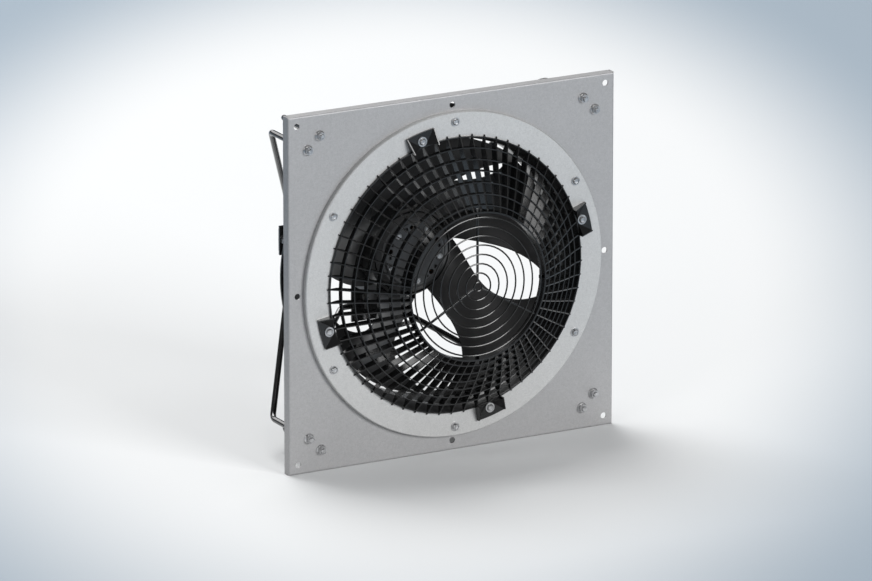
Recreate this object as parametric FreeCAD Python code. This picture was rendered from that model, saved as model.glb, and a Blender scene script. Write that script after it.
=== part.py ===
import FreeCAD, Part
import math
import os

# Square wall-plate ventilation fan: a folded zinc plate, a black nozzle and cap ring, a domed
# inlet grid, a five-blade impeller on an external rotor motor, and four bent rods that carry it.
# Millimetres. +Z is up and the fan axis is Y. The origin is on the axis in the plate's front face,
# the room side looks along -Y and the motor lies on the +Y side.

# Wall plate
plate_side = 485.0
plate_sheet = 2.0
plate_depth = 13.0
plate_bend = 2.6
opening_step = 2.5
corner_gap = 1.0
wall_hole_d = 8.5
wall_hole_inset = 13.5

# Nozzle
throat_r = 178.5
nozzle_wall = 3.0
nozzle_flange_w = 31.5
nozzle_flange_t = 6.3
inlet_flare = 9.0
inlet_mouth_depth = 24.0
throat_len = 38.0
outlet_flare = 29.5
outlet_flare_len = 24.0
rim_lip = 2.0
rib_count = 12
rib_t = 2.6
rib_height = 5.0

# Cap ring over the nozzle flange
cap_sheet = 1.5
cap_bend = 1.2
cap_fit = 0.3

# Inlet grid
fin_count = 64
fin_t = 1.5
fin_depth = 13.0
fin_tooth = 3.2
web_count = 7
web_inner_gap = 7.2
web_t = 1.4
web_depth = 8.0
web_proud = 0.25
grid_rim_inset = 0.5
grid_height = 63.7
grid_tube_r = 99.0
grid_tube_wall = 2.2
grid_tube_depth = 15.0
grid_bulge = 2.6
foot_count = 4
foot_angle = 15.0
foot_reach = 19.5
foot_pad_t = 3.0
gusset_rise = 13.0
gusset_toe = 2.0

# Finger guard in the grid's tube
guard_wire = 2.2
guard_first_r = 6.0
guard_edge_gap = 5.5
guard_rings = 8
guard_spokes = 3
spoke_depth = 2.6
lug_w = 4.7
lug_depth = 2.8
lug_reach = 5.0
lug_play = 0.25

# Rods that carry the motor
rod_d = 8.0
rod_bend_r = 16.0
rod_elbow_y = 103.0
rod_rest_offset = 108.0
rod_rest_half = 33.0
stud_d = 6.0
stud_inset = 29.5
stud_step = 17.5
stud_front = 8.5
stud_hole_d = 6.6

# Motor support
bracket_t = 3.0
bracket_ring_r = 64.0
bracket_hole_r = 34.0
bracket_arm_w = 40.0
bracket_arm_past = 20.0
clamp_t = 2.5
clamp_len = 30.0
clamp_half_w = 19.0
clamp_screw_offset = 13.0
clamp_fit = 0.1

# Impeller
hub_r = 60.0
hub_wall = 3.2
hub_front_y = 107.0
hub_face_t = 5.0
hub_short = 2.0
hub_nose_step = 12.0
hub_nose_len = 9.0
disc_r = 43.6
disc_t = 3.5
blade_count = 5
tip_gap = 3.5
blade_t = 3.6
blade_edge_t = 1.3
blade_spans = 5
blade_root_inset = 18.6
blade_depth = 32.6
disc_screw_inset = 6.6
disc_screw_angle = 60.0
vent_d = 7.0

# Blade edges from the hub to the tip, as powers of the share of the span: degrees round the axis,
# millimetres along it, and camber as a share of the chord
lead_sweep = (-63.3, -5.8, -12.7, -12.3)
lead_rise = (0.0, -178.8, 39.3, 20.3)
trail_sweep = (22.7, -146.1, 92.7, 9.7)
trail_rise = (0.0, -26.0, -59.2, -24.3)
camber_share = (0.053, 0.017)

# Motor
shaft_d = 12.0
can_wall = 3.0
can_front_t = 4.0
can_len = 56.0
magnet_t = 3.0
magnet_len = 36.0
air_gap = 0.6
core_len = 32.0
core_inset = 12.0
slot_count = 12
tooth_w = 7.0
shoe_t = 2.6
slot_gap = 2.6
yoke_r = 27.0
post_wall = 4.0
coil_t = 4.2
coil_side = 2.9
bearing_od = 28.0
bearing_w = 8.0
ball_d = 4.8
ball_count = 7
shaft_tail = 3.5
plug_t = 2.0
rotor_gap = 3.0
housing_r = 70.0
housing_wall = 4.0
housing_flange_t = 6.0
housing_len = 67.0
boss_d = 14.0
cooling_fins = 24
cooling_fin_h = 5.0
cooling_fin_t = 2.2
cover_t = 6.0
board_lift = 22.0
board_post_r = 45.0
gland_d = 20.0
gland_inset = 24.0
gland_len = 20.0
cable_d = 9.0
seal_t = 2.4
seal_len = 10.0

# Fasteners and fits
m5 = 5.0
m5_hole = 5.5
m6 = 6.0
m6_hole = 6.6
cap_screw_step = 20.5
cap_screw_count = 6
grid_screw_step = 7.5
washer_t = 1.2
thread_fit = 0.1
press_fit = 0.03
run_fit = 0.05
side_fit = 0.3

# Places that follow from the sizes above
half = plate_side / 2
wall_hole_pitch = plate_side - 2 * wall_hole_inset
stud_far = half - stud_inset
stud_near = stud_far - stud_step
plate_back_y = plate_sheet
inlet_mouth_r = throat_r + inlet_flare
plate_opening_r = inlet_mouth_r + opening_step
nozzle_flange_r = inlet_mouth_r + nozzle_flange_w
throat_end_y = inlet_mouth_depth + throat_len
outlet_rim_r = throat_r + outlet_flare
outlet_rim_y = throat_end_y + outlet_flare_len
cap_face_y = -(nozzle_flange_t + cap_sheet)
cap_out_r = nozzle_flange_r + cap_fit + cap_sheet
cap_screw_r = inlet_mouth_r + cap_screw_step
grid_screw_r = inlet_mouth_r + grid_screw_step
fin_pitch = 360.0 / fin_count
grid_front_y = cap_face_y - grid_height
grid_rim_r = inlet_mouth_r - grid_rim_inset
foot_out_r = inlet_mouth_r + foot_reach
pad_face_y = cap_face_y - foot_pad_t
grid_tube_out_r = grid_tube_r + grid_tube_wall
web_pitch = (grid_rim_r - grid_tube_out_r - web_inner_gap) / (web_count - 1)
guard_pitch = (grid_tube_r - guard_edge_gap - guard_first_r) / (guard_rings - 1)
blade_tip_r = throat_r - tip_gap
hub_nose_r = hub_r - hub_nose_step
disc_screw_r = disc_r - disc_screw_inset
can_front_y = hub_front_y + hub_face_t
can_rear_y = can_front_y + can_len
hub_rear_y = can_rear_y - hub_short
can_r = hub_r - hub_wall - side_fit
core_y = can_front_y + core_inset
post_r = bearing_od / 2 + post_wall
can_in_r = can_r - can_wall
magnet_out_r = can_in_r - press_fit
magnet_in_r = magnet_out_r - magnet_t
core_r = magnet_in_r - air_gap
housing_front_y = can_rear_y + rotor_gap
housing_rear_y = housing_front_y + housing_len
gland_y = housing_rear_y - gland_inset
cover_y = housing_rear_y
bracket_y = cover_y + cover_t
rod_rest_y = bracket_y + bracket_t + rod_d / 2
bracket_arm_end = rod_rest_offset + bracket_arm_past
bearing_front_y = core_y - 2.0
bearing_rear_y = housing_front_y
disc_y = hub_front_y - disc_t
ball_ring_r = (bearing_od + shaft_d) / 4
housing_screw_r = housing_r - housing_wall - 6.0
post_end_y = bearing_rear_y + bearing_w + shaft_tail + 1.5 + plug_t
board_y = housing_front_y + housing_flange_t + board_lift
Y_AXIS = FreeCAD.Vector(0, 1, 0)
ORIGIN = FreeCAD.Vector(0, 0, 0)


def V(x, y, z):
    return FreeCAD.Vector(x, y, z)


def polar(radius, angle, y=0.0):
    a = math.radians(angle)
    return V(radius * math.cos(a), y, radius * math.sin(a))


def section(points):
    # Flat face from (radius, y) corners, always taken clockwise so that a turned solid faces outwards.
    ahead = points[1:] + points[:1]
    area = sum(a[0] * b[1] - b[0] * a[1] for a, b in zip(points, ahead))
    corners = [V(r, y, 0) for r, y in (points[::-1] if area > 0 else points)]
    return Part.Face(Part.makePolygon(corners + corners[:1]))


def turned(points):
    return section(points).revolve(ORIGIN, Y_AXIS, 360)


def ring(r_in, r_out, y0, y1):
    return turned([(r_in, y0), (r_out, y0), (r_out, y1), (r_in, y1)])


def rod_at(point, diameter, y0, y1):
    return Part.makeCylinder(diameter / 2, y1 - y0, V(point.x, y0, point.z), Y_AXIS)


def spun(shape, angle):
    # Positive angles turn from +X towards +Z, as polar() does.
    copy = shape.copy()
    copy.rotate(ORIGIN, Y_AXIS, -angle)
    return copy


def around(shape, count, start=0.0):
    return [spun(shape, start + i * 360.0 / count) for i in range(count)]


def cut_all(shape, tools):
    return shape.cut(Part.makeCompound(tools)) if tools else shape


def hexagon(centre, across_flats, y0, y1):
    r = across_flats / math.sqrt(3)
    corners = [V(centre.x, y0, centre.z) + polar(r, 30 + 60 * i) for i in range(7)]
    return Part.Face(Part.makePolygon(corners)).extrude(V(0, y1 - y0, 0))


def washer(centre, bore, outer, y0, y1):
    return rod_at(centre, outer, y0, y1).cut(rod_at(centre, bore, y0, y1))


def hex_nut(centre, thread, y0, y1):
    return hexagon(centre, thread * 1.6, y0, y1).cut(rod_at(centre, thread + 2 * thread_fit, y0, y1))


def pan_screw(centre, thread, head_y, tip_y):
    # Low domed head with a hex socket, its bearing face at head_y, its shank towards tip_y.
    way = 1 if tip_y > head_y else -1
    head_h = 0.55 * thread
    head_r = 0.95 * thread
    top_r = 0.6 * thread
    crown = head_y - way * head_h
    corners = [(0, tip_y), (thread / 2, tip_y), (thread / 2, head_y), (head_r, head_y),
               (head_r, head_y - way * 0.3 * head_h), (top_r, crown), (0, crown)]
    screw = turned(corners)
    screw.translate(V(centre.x, 0, centre.z))
    socket = sorted((crown, crown + way * 0.6 * head_h))
    return screw.cut(hexagon(centre, 0.6 * thread, socket[0], socket[1]))


def square_points(near, far):
    # The eight places that pair up beside each corner of the plate.
    return [V(sx * a, 0, sz * b) for sx in (-1, 1) for sz in (-1, 1)
            for a, b in ((near, far), (far, near))]


def wall_holes():
    p = wall_hole_pitch / 2
    return [V(x, 0, z) for x in (-p, 0, p) for z in (-p, 0, p) if x or z]


def cap_screws():
    return [polar(cap_screw_r, 90 + i * 360.0 / cap_screw_count) for i in range(cap_screw_count)]


def foot_angles():
    return [foot_angle + i * 360.0 / foot_count for i in range(foot_count)]


def grid_screws():
    return [polar(grid_screw_r, a) for a in foot_angles()]


def disc_screws():
    return [polar(disc_screw_r, disc_screw_angle + i * 360.0 / blade_count)
            for i in range(blade_count)]


def wall_plate():
    tray = Part.makeBox(plate_side, plate_depth, plate_side, V(-half, 0, -half))
    rim = [e for e in tray.Edges if abs(e.CenterOfMass.y) < 1e-6]
    tray = tray.makeFillet(plate_bend, rim)
    inside = plate_side - 2 * plate_sheet
    low = -half + plate_sheet
    tray = tray.cut(Part.makeBox(inside, plate_depth, inside, V(low, plate_sheet, low)))
    slit_y = plate_sheet + plate_bend
    slits = []
    for sx in (-1, 1):
        for sz in (-1, 1):
            x = sx * (half - plate_sheet - corner_gap) - (corner_gap if sx < 0 else 0)
            z = sz * (half - plate_sheet) - (plate_sheet if sz < 0 else 0)
            slits.append(Part.makeBox(corner_gap, plate_depth, plate_sheet, V(x, slit_y, z)))
    holes = [rod_at(p, wall_hole_d, -1, plate_depth) for p in wall_holes()]
    holes += [rod_at(p, stud_hole_d, -1, plate_depth) for p in square_points(stud_near, stud_far)]
    holes += [rod_at(p, m5_hole, -1, plate_depth) for p in cap_screws() + grid_screws()]
    holes.append(rod_at(ORIGIN, 2 * plate_opening_r, -1, plate_depth))
    return cut_all(tray, slits + holes)


def nozzle():
    # Flange, rounded mouth, straight throat, then an outward flare to the rolled rear rim.
    w = nozzle_wall
    mouth = Part.Arc(V(inlet_mouth_r, -nozzle_flange_t, 0),
                     V(throat_r + 0.25 * (inlet_mouth_r - throat_r), 0.35 * inlet_mouth_depth, 0),
                     V(throat_r, inlet_mouth_depth, 0))
    flare_r = outlet_rim_r - throat_r
    flare_len = outlet_rim_y - throat_end_y
    k = 1 - math.sqrt(0.5)
    flare = Part.Arc(V(throat_r, throat_end_y, 0),
                     V(throat_r + k * flare_r, outlet_rim_y - k * flare_len, 0),
                     V(outlet_rim_r, outlet_rim_y, 0))
    flare_back = Part.Arc(V(outlet_rim_r, outlet_rim_y - w, 0),
                          V(throat_r + w + k * (flare_r - w), outlet_rim_y - w - k * (flare_len - w), 0),
                          V(throat_r + w, throat_end_y, 0))
    neck = Part.Arc(V(throat_r + w, inlet_mouth_depth, 0),
                    V(throat_r + w + 0.18 * (inlet_mouth_r - throat_r), 0.35 * inlet_mouth_depth, 0),
                    V(plate_opening_r - 1.0, 0, 0))
    corners = [V(outlet_rim_r, outlet_rim_y, 0), V(outlet_rim_r + rim_lip, outlet_rim_y, 0),
               V(outlet_rim_r + rim_lip, outlet_rim_y - w, 0), V(outlet_rim_r, outlet_rim_y - w, 0)]
    edges = [mouth.toShape(),
             Part.makeLine(V(throat_r, inlet_mouth_depth, 0), V(throat_r, throat_end_y, 0)),
             flare.toShape()]
    edges += [Part.makeLine(a, b) for a, b in zip(corners, corners[1:])]
    edges += [flare_back.toShape(),
              Part.makeLine(V(throat_r + w, throat_end_y, 0), V(throat_r + w, inlet_mouth_depth, 0)),
              neck.toShape(),
              Part.makeLine(V(plate_opening_r - 1.0, 0, 0), V(nozzle_flange_r, 0, 0)),
              Part.makeLine(V(nozzle_flange_r, 0, 0), V(nozzle_flange_r, -nozzle_flange_t, 0)),
              Part.makeLine(V(nozzle_flange_r, -nozzle_flange_t, 0),
                            V(inlet_mouth_r, -nozzle_flange_t, 0))]
    shell = Part.Face(Part.Wire(edges)).revolve(ORIGIN, Y_AXIS, 360)
    rib = Part.makeBox(w / 2 + rib_height, throat_end_y - inlet_mouth_depth, rib_t,
                       V(throat_r + w / 2, inlet_mouth_depth, -rib_t / 2))
    shell = shell.multiFuse(around(rib, rib_count, 180.0 / rib_count))
    holes = [rod_at(p, m5_hole, -nozzle_flange_t - 1, 1) for p in cap_screws() + grid_screws()]
    return cut_all(shell, holes)


def cap_ring():
    r0 = nozzle_flange_r + cap_fit
    y0 = cap_face_y
    bend = cap_bend
    tray = turned([(inlet_mouth_r, y0), (cap_out_r - bend, y0), (cap_out_r, y0 + bend), (cap_out_r, 0),
                   (r0, 0), (r0, y0 + cap_sheet), (inlet_mouth_r, y0 + cap_sheet)])
    holes = [rod_at(p, m5_hole, y0 - 1, 0) for p in cap_screws() + grid_screws()]
    return cut_all(tray, holes)


def dome_y(radius):
    # Front line of the grid: a shallow arc from the tube's front rim to the cap ring's face.
    r0, y0 = grid_tube_out_r, grid_front_y
    r1, y1 = grid_rim_r, cap_face_y
    t = (radius - r0) / (r1 - r0)
    return y0 + t * (y1 - y0) - 4 * grid_bulge * t * (1 - t)


def web_radii():
    return [grid_rim_r - i * web_pitch for i in range(web_count)]


def many_sided_ring(r_in, r_out, y0, y1):
    # A web runs straight from fin to fin, so its ring is a polygon with a corner at each fin.
    discs = []
    for r in (r_out, r_in):
        corners = [polar(r, foot_angle + i * fin_pitch, y0) for i in range(fin_count)]
        discs.append(Part.Face(Part.makePolygon(corners + corners[:1])))
    return discs[0].cut(discs[1]).extrude(V(0, y1 - y0, 0))


def upright(points):
    # Thin wall in a plane through the axis, from (radius, y) corners.
    wall = section(points).extrude(V(0, 0, fin_t))
    wall.translate(V(0, 0, -fin_t / 2))
    return wall


def grid_fin():
    root = grid_tube_r + grid_tube_wall / 2
    steps = [root] + web_radii()[::-1]
    front = [(r, dome_y(r)) for r in steps[:-1]]
    front.append((grid_rim_r, dome_y(grid_rim_r) - fin_tooth))
    tip = grid_rim_r + fin_tooth
    heel = [(tip, cap_face_y - 0.4 * fin_tooth), (tip, cap_face_y),
            (inlet_mouth_r - side_fit, cap_face_y)]
    corners = front + heel + [(r, dome_y(r) + fin_depth) for r in (web_radii()[1], root)]
    return upright(corners)


def grid_foot():
    # A pad on the cap ring between two triangular side gussets that carry on the fins' lines.
    inner = grid_rim_r - web_t / 2
    pad = section([(inner, pad_face_y), (foot_out_r, pad_face_y), (foot_out_r, cap_face_y),
                   (inner, cap_face_y)])
    pad = spun(pad.revolve(ORIGIN, Y_AXIS, 2 * fin_pitch), fin_pitch)
    gusset = upright([(inner, cap_face_y), (foot_out_r, cap_face_y), (foot_out_r, pad_face_y - gusset_toe),
                      (inner, cap_face_y - gusset_rise)])
    return [pad, spun(gusset, fin_pitch), spun(gusset, -fin_pitch)]


def inlet_grid():
    tube = ring(grid_tube_r, grid_tube_out_r, grid_front_y - web_proud, grid_front_y + grid_tube_depth)
    webs = []
    for r in web_radii():
        y0 = dome_y(r) - web_proud
        y1 = min(y0 + web_depth, cap_face_y)
        if r == grid_rim_r:
            y0 = cap_face_y - fin_tooth - web_proud
        webs.append(many_sided_ring(r - web_t / 2, r + web_t / 2, y0, y1))
    fins = around(grid_fin(), fin_count, foot_angle)
    feet = []
    for a in foot_angles():
        feet += [spun(piece, a) for piece in grid_foot()]
    grid = tube.multiFuse(webs + fins + feet)
    holes = [rod_at(p, m5_hole, pad_face_y - 1, 0) for p in grid_screws()]
    holes += [rod_at(p, 3.0 * m5, cap_face_y - gusset_rise, pad_face_y) for p in grid_screws()]
    slot_w = lug_w + 2 * lug_play
    y0 = grid_front_y + guard_wire - lug_play
    slot = Part.makeBox(3 * grid_tube_wall, lug_depth + 2 * lug_play, slot_w,
                        V(grid_tube_r - grid_tube_wall, y0, -slot_w / 2))
    return cut_all(grid, holes + around(slot, 4))


def finger_guard():
    # Concentric wires on three spokes, held by four lugs that snap through the grid's tube.
    rings = []
    half_wire = guard_wire / 2
    for i in range(guard_rings):
        r = guard_first_r + i * guard_pitch
        rings.append(ring(r - half_wire, r + half_wire, grid_front_y, grid_front_y + guard_wire))
    y0 = grid_front_y + guard_wire / 2
    spoke = Part.makeBox(grid_tube_r - side_fit - guard_first_r, guard_wire / 2 + spoke_depth, guard_wire,
                         V(guard_first_r, y0, -half_wire))
    last_r = guard_first_r + (guard_rings - 1) * guard_pitch
    lug = Part.makeBox(grid_tube_out_r + lug_reach - last_r, lug_depth, lug_w,
                       V(last_r, grid_front_y + guard_wire, -lug_w / 2))
    heel = Part.makeBox(guard_wire, guard_wire, lug_w, V(last_r - half_wire, grid_front_y + half_wire,
                                                         -lug_w / 2))
    pieces = around(spoke, guard_spokes, 90) + around(lug.fuse(heel), 4)
    return rings[0].multiFuse(rings[1:] + pieces)


def rounded_path(points, radius):
    # Straight runs through the points, with an arc of the given radius at each inner point.
    edges = []
    start = points[0]
    for before, corner, after in zip(points, points[1:], points[2:]):
        a = (before - corner).normalize()
        b = (after - corner).normalize()
        turn = math.pi - a.getAngle(b)
        reach = radius * math.tan(turn / 2)
        sag = radius / math.cos(turn / 2) - radius
        p, q = corner + a * reach, corner + b * reach
        edges.append(Part.makeLine(start, p))
        edges.append(Part.Arc(p, corner + (a + b).normalize() * sag, q).toShape())
        start = q
    edges.append(Part.makeLine(start, points[-1]))
    return Part.Wire(edges)


def strut(angle):
    # One bent rod, drawn as the top one: up from two studs, inwards, and flat across the bracket.
    foot_y = plate_back_y + washer_t
    line = [V(-stud_near, foot_y, stud_far), V(-stud_near, rod_elbow_y, stud_far),
            V(-rod_rest_half, rod_rest_y, rod_rest_offset), V(rod_rest_half, rod_rest_y, rod_rest_offset),
            V(stud_near, rod_elbow_y, stud_far), V(stud_near, foot_y, stud_far)]
    path = rounded_path(line, rod_bend_r)
    profile = Part.Wire(Part.makeCircle(rod_d / 2, line[0], Y_AXIS))
    body = path.makePipeShell([profile], True, False)
    ends = [rod_at(p, stud_d, -stud_front, foot_y + 1) for p in (line[0], line[-1])]
    return spun(body.multiFuse(ends), angle)


def strut_nuts():
    nuts = []
    flange_t = 1.4
    for p in square_points(stud_near, stud_far):
        body = hexagon(p, 10.0, -6.2, 0).fuse(rod_at(p, 14.2, -flange_t, 0))
        nuts.append(body.cut(rod_at(p, stud_d + 2 * thread_fit, -7, 0)))
    return nuts


def strut_washers():
    y0 = plate_back_y
    return [washer(p, stud_d + 2 * thread_fit, 16.0, y0, y0 + washer_t)
            for p in square_points(stud_near, stud_far)]


def clamp_screw_points():
    points = []
    for i in range(4):
        for side in (-1, 1):
            p = V(0, 0, rod_rest_offset + side * clamp_screw_offset)
            points.append(spun(Part.Vertex(p), 90 * i).Point)
    return points


def bracket_screws():
    return [polar(housing_screw_r, 45 + 90 * i) for i in range(4)]


def motor_bracket():
    y0, y1 = bracket_y, bracket_y + bracket_t
    arm = Part.makeBox(bracket_arm_w, bracket_t, bracket_arm_end, V(-bracket_arm_w / 2, y0, 0))
    plate = ring(0, bracket_ring_r + 4.0, y0, y1).multiFuse(around(arm, 4)).removeSplitter()
    inner = [e for e in plate.Edges if abs(e.Length - bracket_t) < 1e-6
             and math.hypot(e.CenterOfMass.x, e.CenterOfMass.z) < bracket_ring_r + 8]
    plate = plate.makeFillet(12.0, inner)
    holes = [rod_at(ORIGIN, 2 * bracket_hole_r, y0, y1)]
    holes += [rod_at(p, m6_hole, y0, y1) for p in clamp_screw_points()]
    holes += [rod_at(p, m5_hole, y0, y1) for p in bracket_screws()]
    return cut_all(plate, holes)


def rod_clamp():
    # Pressed saddle over the top rod, with a flat foot on each side of it.
    y0 = bracket_y + bracket_t
    z = rod_rest_offset
    inner = rod_d / 2 + clamp_fit
    outer = inner + clamp_t
    start = V(-clamp_len / 2, rod_rest_y, z)
    along = V(1, 0, 0)
    body = Part.makeBox(clamp_len, clamp_t, 2 * clamp_half_w, V(start.x, y0, z - clamp_half_w))
    crown = Part.makeCylinder(outer, clamp_len, start, along)
    sides = Part.makeBox(clamp_len, rod_d / 2, 2 * outer, V(start.x, y0, z - outer))
    below = Part.makeBox(clamp_len, 2 * outer, 4 * outer, V(start.x, y0 - 2 * outer, z - 2 * outer))
    body = body.multiFuse([crown, sides]).cut(below)
    channel = Part.makeBox(clamp_len, rod_d / 2, 2 * inner, V(start.x, y0, z - inner))
    body = body.cut(channel.fuse(Part.makeCylinder(inner, clamp_len, start, along)))
    holes = [rod_at(V(0, 0, z + s * clamp_screw_offset), m6_hole, y0 - 1, y0 + 2 * clamp_t)
             for s in (-1, 1)]
    return cut_all(body, holes)


def curve_at(powers, t):
    return sum(value * t ** i for i, value in enumerate(powers))


def span_share(radius):
    return (radius - hub_r) / (blade_tip_r - hub_r)


def blade_edges(radius):
    # Angle and depth of the leading and the trailing edge at a radius, swept like a sickle.
    t = span_share(radius)
    root_y = hub_front_y + blade_root_inset
    lead_angle = curve_at(lead_sweep, t)
    lead_y = root_y + curve_at(lead_rise, t)
    trail_angle = curve_at(trail_sweep, t)
    trail_y = root_y + blade_depth + curve_at(trail_rise, t)
    return lead_angle, lead_y, trail_angle, trail_y


def blade_section(radius):
    # Cambered, thin-edged section wrapped on a cylinder about the fan axis.
    a0, y0, a1, y1 = blade_edges(radius)
    chord = math.hypot(math.radians(a1 - a0) * radius, y1 - y0)
    lean = math.atan2(y1 - y0, math.radians(a1 - a0) * radius)
    camber = curve_at(camber_share, span_share(radius)) * chord
    faces = []
    for side in (1, -1):
        points = []
        for i in range(5):
            s = i / 4.0
            bow = 4 * s * (1 - s)
            lift = camber * bow + side * (blade_edge_t + (blade_t - blade_edge_t) * bow) / 2
            along = s * chord
            arc = along * math.cos(lean) - lift * math.sin(lean)
            y = y0 + along * math.sin(lean) + lift * math.cos(lean)
            points.append(polar(radius, a0 + math.degrees(arc / radius), y))
        curve = Part.BSplineCurve()
        curve.interpolate(points)
        faces.append((curve.toShape(), points))
    (upper, top), (lower, low) = faces
    return Part.Wire(Part.__sortEdges__([upper, lower, Part.makeLine(top[0], low[0]),
                                         Part.makeLine(top[-1], low[-1])]))


def blade():
    # Lofted past both ends, then trimmed by the hub's wall and by the tip's cylinder.
    spare = 5.0
    inner = hub_r - hub_wall / 2 - spare
    outer = blade_tip_r + spare
    wires = [blade_section(inner + i * (outer - inner) / blade_spans) for i in range(blade_spans + 1)]
    skin = Part.makeLoft(wires, False, False)
    caps = [Part.makeFilledFace(w.Edges) for w in (wires[0], wires[-1])]
    body = Part.makeSolid(Part.makeShell(skin.Faces + caps))
    low = blade_edges(blade_tip_r)[1] - 2 * blade_t - spare
    return body.common(ring(hub_r - hub_wall / 2, blade_tip_r, low, hub_rear_y)).Solids[0]


def impeller():
    # Hub cup moulded round the rotor can, with the five blades on its outside.
    y0, y1 = hub_front_y, hub_rear_y
    r_in = hub_r - hub_wall
    nose_in = can_front_y
    cup = turned([(0, y0), (hub_nose_r, y0), (hub_r, y0 + hub_nose_len), (hub_r, y1), (r_in, y1),
                  (r_in, nose_in), (0, nose_in)])
    cup = cup.multiFuse(around(blade(), blade_count))
    holes = [rod_at(p, m5_hole, y0 - 1, nose_in + 1) for p in disc_screws()]
    holes.append(rod_at(ORIGIN, shaft_d + 2 * side_fit, y0 - 1, nose_in + 1))
    holes += [rod_at(p, vent_d, y0 - 1, nose_in + 1) for p in vent_points()]
    return cut_all(cup, holes)


def vent_points():
    step = 360.0 / blade_count
    return [polar(disc_screw_r, disc_screw_angle + step * (i + 0.5)) for i in range(blade_count)]


def hub_disc():
    y0, y1 = disc_y, hub_front_y
    edge = 0.8
    disc = turned([(0, y0), (disc_r - edge, y0), (disc_r, y0 + edge), (disc_r, y1), (0, y1)])
    holes = [rod_at(p, m5_hole, y0, y1) for p in disc_screws()]
    holes += [rod_at(p, vent_d, y0, y1) for p in vent_points()]
    holes.append(rod_at(ORIGIN, shaft_d + 2 * side_fit, y0, y1))
    notch = Part.makeBox(4.5, disc_t, 4.5, V(disc_screw_r - 2.2, y0, -2.2))
    step = 360.0 / blade_count
    for sign in (-1, 1):
        start = disc_screw_angle + step / 2 + sign * 13.5
        holes += around(notch, blade_count, start)
    return cut_all(disc, holes)


def shaft():
    r = shaft_d / 2
    groove_y = bearing_rear_y + bearing_w
    return turned([(0, disc_y - 1.5), (r - 1, disc_y - 1.5), (r, disc_y - 0.5), (r, groove_y),
                   (r - 0.5, groove_y), (r - 0.5, groove_y + 1.2), (r, groove_y + 1.2),
                   (r, groove_y + shaft_tail), (0, groove_y + shaft_tail)])


def retaining_ring():
    y0 = bearing_rear_y + bearing_w
    r = shaft_d / 2
    clip = ring(r - 0.5 + press_fit, r + 2.2, y0 + 0.1, y0 + 1.1)
    return clip.cut(Part.makeBox(3 * r, 2.0, 3.0, V(0, y0 - 0.2, -1.5)))


def rotor_can():
    y0, y1 = can_front_y, can_rear_y
    bore = shaft_d / 2 + press_fit
    boss_r = shaft_d / 2 + 4.0
    boss_y = bearing_front_y
    cup = turned([(bore, y0), (can_r, y0), (can_r, y1), (can_in_r, y1), (can_in_r, y0 + can_front_t),
                  (boss_r, y0 + can_front_t), (boss_r, boss_y - 2.0), (boss_r - 2.0, boss_y),
                  (bore, boss_y)])
    holes = [rod_at(p, m5 + 2 * thread_fit, y0 - 1, y0 + can_front_t + 1) for p in disc_screws()]
    holes += [rod_at(p, vent_d, y0 - 1, y0 + can_front_t + 1) for p in vent_points()]
    return cut_all(cup, holes)


def magnet_ring():
    y0 = core_y + (core_len - magnet_len) / 2
    return ring(magnet_in_r, magnet_out_r, y0, y0 + magnet_len)


def stator_core():
    # Laminated pack: a yoke on the housing's post, and teeth with wide shoes at the air gap.
    y0 = core_y
    y1 = core_y + core_len
    yoke = ring(post_r + press_fit, yoke_r, y0, y1)
    tooth = Part.makeBox(core_r - shoe_t - yoke_r + 2, core_len, tooth_w, V(yoke_r - 1, y0, -tooth_w / 2))
    shoes = ring(core_r - shoe_t, core_r, y0, y1)
    gap = Part.makeBox(2 * shoe_t + 2, core_len, slot_gap, V(core_r - shoe_t - 1, y0, -slot_gap / 2))
    shoes = cut_all(shoes, around(gap, slot_count, 180.0 / slot_count))
    return yoke.multiFuse(around(tooth, slot_count) + shoes.Solids)


def stator_windings():
    # One coil round each tooth, clear of its neighbours in the slots.
    r0 = yoke_r + 3.0
    wide = tooth_w + 2 * coil_side
    r1 = math.sqrt((core_r - shoe_t - side_fit) ** 2 - (wide / 2) ** 2)
    hole_w = tooth_w + 0.2
    coil = Part.makeBox(r1 - r0, core_len + 2 * coil_t, wide, V(r0, core_y - coil_t, -wide / 2))
    inner = Part.makeBox(r1 - r0, core_len + 0.2, hole_w, V(r0, core_y - 0.1, -hole_w / 2))
    sides = [e for e in coil.Edges if abs(e.Length - (r1 - r0)) < 1e-6]
    coil = coil.makeFillet(2.0, sides).cut(inner)
    return around(coil, slot_count)


def bearing_parts(y0):
    # Deep-groove bearing: outer ring, inner ring and balls in a groove of the same torus.
    y1 = y0 + bearing_w
    mid = (y0 + y1) / 2
    groove = Part.makeTorus(ball_ring_r, ball_d / 2 + run_fit, V(0, mid, 0), Y_AXIS)
    land = ball_d * 0.28
    outer = ring(ball_ring_r + land, bearing_od / 2, y0, y1).cut(groove)
    inner = ring(shaft_d / 2 + press_fit, ball_ring_r - land, y0, y1).cut(groove)
    balls = [Part.makeSphere(ball_d / 2, polar(ball_ring_r, 360.0 * i / ball_count, mid))
             for i in range(ball_count)]
    return outer, inner, balls


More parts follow.
